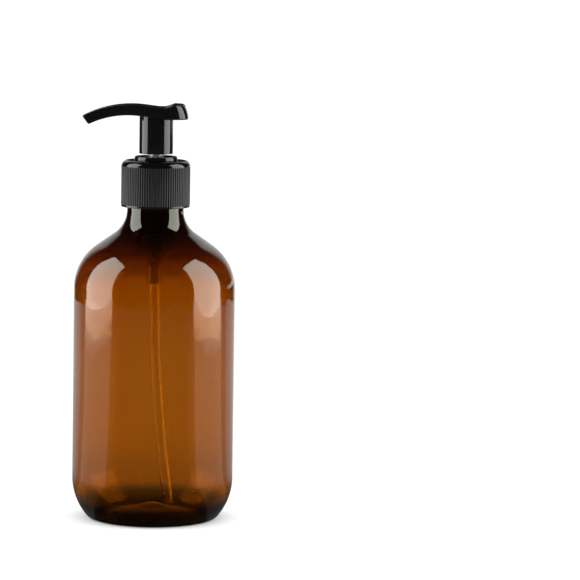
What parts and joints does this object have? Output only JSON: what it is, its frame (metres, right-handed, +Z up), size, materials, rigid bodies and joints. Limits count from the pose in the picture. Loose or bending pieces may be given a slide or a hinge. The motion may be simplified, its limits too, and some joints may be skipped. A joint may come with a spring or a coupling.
{
  "type": "pump oil bottle",
  "caption": "Round-shouldered amber bottle with a screw-on dispensing pump: ribbed closure, guide ring, press-down head with a curved spout, spring piston pump and dip tube.",
  "frame": {"origin": "on the bottle's axis, in the plane of the ring that the bottle stands on", "axes": "+Z up along the bottle's axis, -X along the spout"},
  "size_m": [0.075, 0.075, 0.1936],
  "materials": {
    "amber_plastic": "clear amber blow-moulded PET, glossy inside and out",
    "white_washer": "white closed-cell foam sheet",
    "black_satin_plastic": "black injection-moulded polypropylene, satin ribs and a smooth shoulder",
    "black_gloss_plastic": "black injection-moulded polypropylene, polished mould",
    "natural_plastic": "natural uncoloured polypropylene, slightly milky",
    "tube_plastic": "clear milky extruded polyethylene tube",
    "ball_glass": "polished glass ball",
    "spring_steel": "drawn stainless spring wire",
    "soft_white_plastic": "soft low-density polyethylene"
  },
  "bodies": {
    "bottle": {"bottle": "amber_plastic"},
    "washer": {"gasket": "white_washer"},
    "pump": {"pump_housing": "natural_plastic", "guide_ring": "black_gloss_plastic", "dip_tube": "tube_plastic"},
    "closure": {"closure": "black_satin_plastic"},
    "spring": {"return_spring": "spring_steel"},
    "head": {"pump_head": "black_gloss_plastic", "stem": "natural_plastic", "piston_seat": "natural_plastic"},
    "piston": {"piston": "soft_white_plastic"},
    "ball": {"inlet_ball": "ball_glass"}
  },
  "joints": [
    {"name": "pump_lift", "type": "slide", "parent": "bottle", "child": "washer", "axis": [0, 0, 1], "range_m": [0, 0.17]},
    {"name": "thread_rise", "type": "slide", "parent": "washer", "child": "pump", "axis": [0, 0, 1], "range_m": [0, 0.00635]},
    {"name": "closure_turn", "type": "hinge", "parent": "pump", "child": "closure", "pos_m": [0, 0, 0.155], "axis": [0, 0, 1], "range_deg": [0, 540]},
    {"name": "head_press", "type": "slide", "parent": "pump", "child": "spring", "axis": [0, 0, -1], "range_m": [0, 0.013], "stiffness_N_per_m": 1100, "springref_m": -0.004, "deforming": ["return_spring"]},
    {"name": "head_turn", "type": "hinge", "parent": "spring", "child": "head", "pos_m": [0, 0, 0.18], "axis": [0, 0, 1], "continuous": true},
    {"name": "piston_shift", "type": "slide", "parent": "spring", "child": "piston", "axis": [0, 0, 1], "range_m": [0, 0.001]},
    {"name": "ball_lift", "type": "slide", "parent": "pump", "child": "ball", "axis": [0, 0, 1], "range_m": [0, 0.0012]}
  ],
  "couplings": [
    {"joint": "thread_rise", "follows": "closure_turn", "m_per_rad": 0.00067379}
  ]
}
